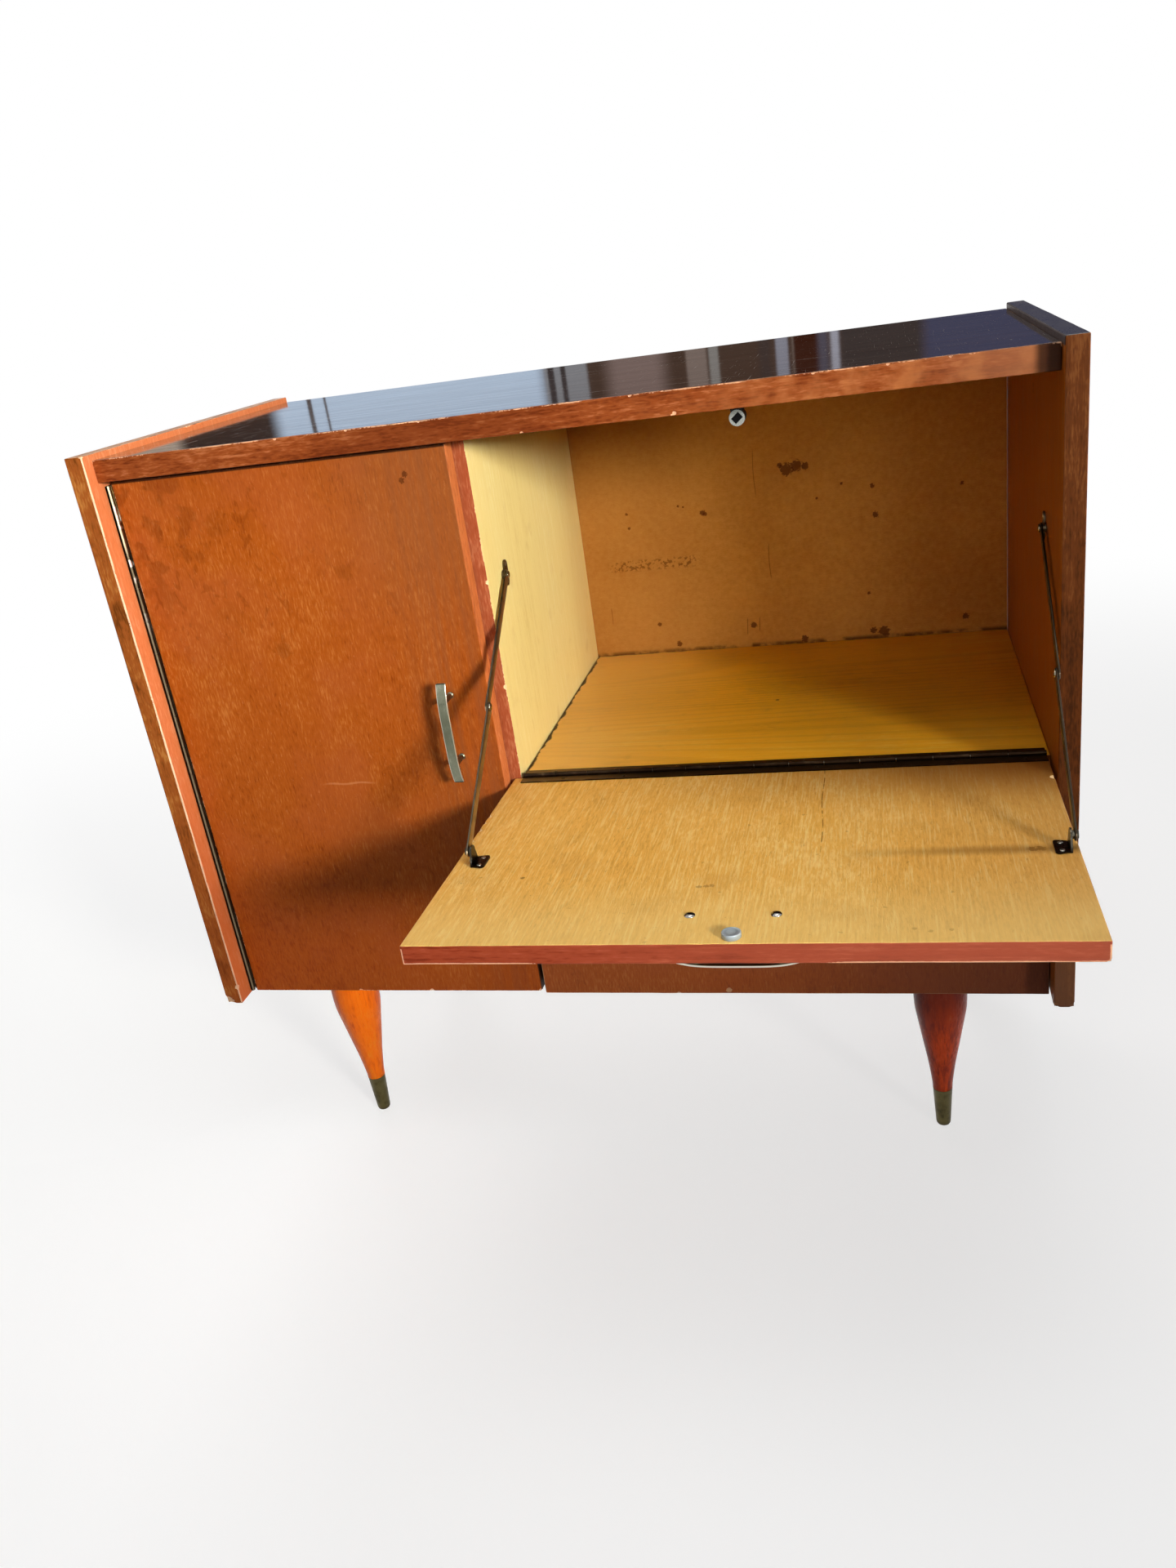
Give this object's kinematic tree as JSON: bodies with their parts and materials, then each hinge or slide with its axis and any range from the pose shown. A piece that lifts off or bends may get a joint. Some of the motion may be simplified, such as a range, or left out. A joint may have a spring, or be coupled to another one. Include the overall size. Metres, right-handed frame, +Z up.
{
  "type": "bar sideboard",
  "caption": "Veneered bar sideboard on turned tapered legs, with a hinged door, a drawer and a fall-front bar held by folding stays.",
  "frame": {"origin": "on the floor, under the middle of the whole piece with its flap down", "axes": "+Z up; +X to the right as seen from the front, along the width; +Y to the back; the door, drawer and flap open towards -Y"},
  "size_m": [0.9, 0.732, 0.808],
  "materials": {
    "bar_veneer": "satin lacquered honey-coloured veneer",
    "bronzed_steel": "dull bronzed steel",
    "ferrule_brass": "dull brass",
    "flap_veneer": "satin lacquered honey-coloured veneer, chipped at the edges",
    "front_veneer": "satin lacquered teak veneer",
    "handle_steel": "dull nickelled steel",
    "hardboard": "stained board",
    "inner_veneer": "satin lacquered veneer",
    "leg_wood": "glossy stained beech",
    "magnet": "black ceramic",
    "nickelled_steel": "worn nickel plate",
    "pine": "bare softwood",
    "side_veneer": "satin lacquered teak veneer, worn at the edges",
    "top_veneer": "glossy dark lacquered veneer with fine scratches"
  },
  "bodies": {
    "carcass": {"back_panel": "hardboard", "bar_shelf": "bar_veneer", "bottom_panel": "inner_veneer", "divider_panel": "bar_veneer", "door_catch_body": "nickelled_steel", "door_catch_magnet": "magnet", "door_hinge_fixed_leaf": "bronzed_steel", "door_hinge_pin": "nickelled_steel", "drawer_runner_left": "pine", "drawer_runner_right": "pine", "ferrule_front_left": "ferrule_brass", "ferrule_front_right": "ferrule_brass", "ferrule_rear_left": "ferrule_brass", "ferrule_rear_right": "ferrule_brass", "flap_catch_body": "nickelled_steel", "flap_catch_magnet": "magnet", "flap_hinge_fixed_leaf": "bronzed_steel", "flap_hinge_pin": "nickelled_steel", "inner_shelf": "inner_veneer", "inner_shelf_batten_left": "pine", "inner_shelf_batten_right": "pine", "left_stay_wall_bracket": "bronzed_steel", "leg_front_left": "leg_wood", "leg_front_right": "leg_wood", "leg_rear_left": "leg_wood", "leg_rear_right": "leg_wood", "right_stay_wall_bracket": "bronzed_steel", "side_panel_left": "side_veneer", "side_panel_right": "side_veneer", "top_front_lipping": "front_veneer", "top_panel": "top_veneer"},
    "door": {"door_handle": "handle_steel", "door_handle_screw_lower": "nickelled_steel", "door_handle_screw_upper": "nickelled_steel", "door_hinge_moving_leaf": "bronzed_steel", "door_panel": "front_veneer", "door_strike": "nickelled_steel"},
    "flap": {"flap_handle": "handle_steel", "flap_handle_screw_left": "nickelled_steel", "flap_handle_screw_right": "nickelled_steel", "flap_hinge_moving_leaf": "bronzed_steel", "flap_panel": "flap_veneer", "flap_strike": "nickelled_steel", "left_stay_flap_bracket": "bronzed_steel", "right_stay_flap_bracket": "bronzed_steel"},
    "drawer": {"drawer_back": "pine", "drawer_bottom": "hardboard", "drawer_front": "front_veneer", "drawer_handle": "handle_steel", "drawer_handle_screw_left": "nickelled_steel", "drawer_handle_screw_right": "nickelled_steel", "drawer_side_left": "pine", "drawer_side_right": "pine"},
    "left_upper_arm": {"left_stay_upper_arm": "nickelled_steel"},
    "left_lower_arm": {"left_stay_elbow_rivet": "nickelled_steel", "left_stay_lower_arm": "nickelled_steel"},
    "right_upper_arm": {"right_stay_upper_arm": "nickelled_steel"},
    "right_lower_arm": {"right_stay_elbow_rivet": "nickelled_steel", "right_stay_lower_arm": "nickelled_steel"}
  },
  "joints": [
    {"name": "door_hinge", "type": "hinge", "parent": "carcass", "child": "door", "pos_m": [-0.4288, -0.05552, 0.4895], "axis": [0, 0, -1], "range_deg": [0, 100]},
    {"name": "flap_hinge", "type": "hinge", "parent": "carcass", "child": "flap", "pos_m": [0.174, -0.03132, 0.4447], "axis": [-1, 0, 0], "range_deg": [0, 88.7]},
    {"name": "drawer_slide", "type": "slide", "parent": "carcass", "child": "drawer", "axis": [0, -1, 0], "range_m": [0, 0.25]},
    {"name": "left_stay_wall_pivot", "type": "hinge", "parent": "carcass", "child": "left_upper_arm", "pos_m": [-0.0735, 0.01698, 0.6398], "axis": [-1, 0, 0], "range_deg": [-39.1, 0]},
    {"name": "left_stay_flap_pivot", "type": "hinge", "parent": "flap", "child": "left_lower_arm", "pos_m": [-0.0735, -0.22408, 0.45788], "axis": [-1, 0, 0], "range_deg": [0, 37.6]},
    {"name": "right_stay_wall_pivot", "type": "hinge", "parent": "carcass", "child": "right_upper_arm", "pos_m": [0.4315, 0.01698, 0.6398], "axis": [-1, 0, 0], "range_deg": [-39.1, 0]},
    {"name": "right_stay_flap_pivot", "type": "hinge", "parent": "flap", "child": "right_lower_arm", "pos_m": [0.4315, -0.22408, 0.45788], "axis": [-1, 0, 0], "range_deg": [0, 37.6]}
  ],
  "couplings": [
    {"joint": "left_stay_wall_pivot", "follows": "flap_hinge", "ratio": -0.4396},
    {"joint": "left_stay_flap_pivot", "follows": "flap_hinge", "ratio": 0.42239},
    {"joint": "right_stay_wall_pivot", "follows": "flap_hinge", "ratio": -0.4396},
    {"joint": "right_stay_flap_pivot", "follows": "flap_hinge", "ratio": 0.42239}
  ]
}
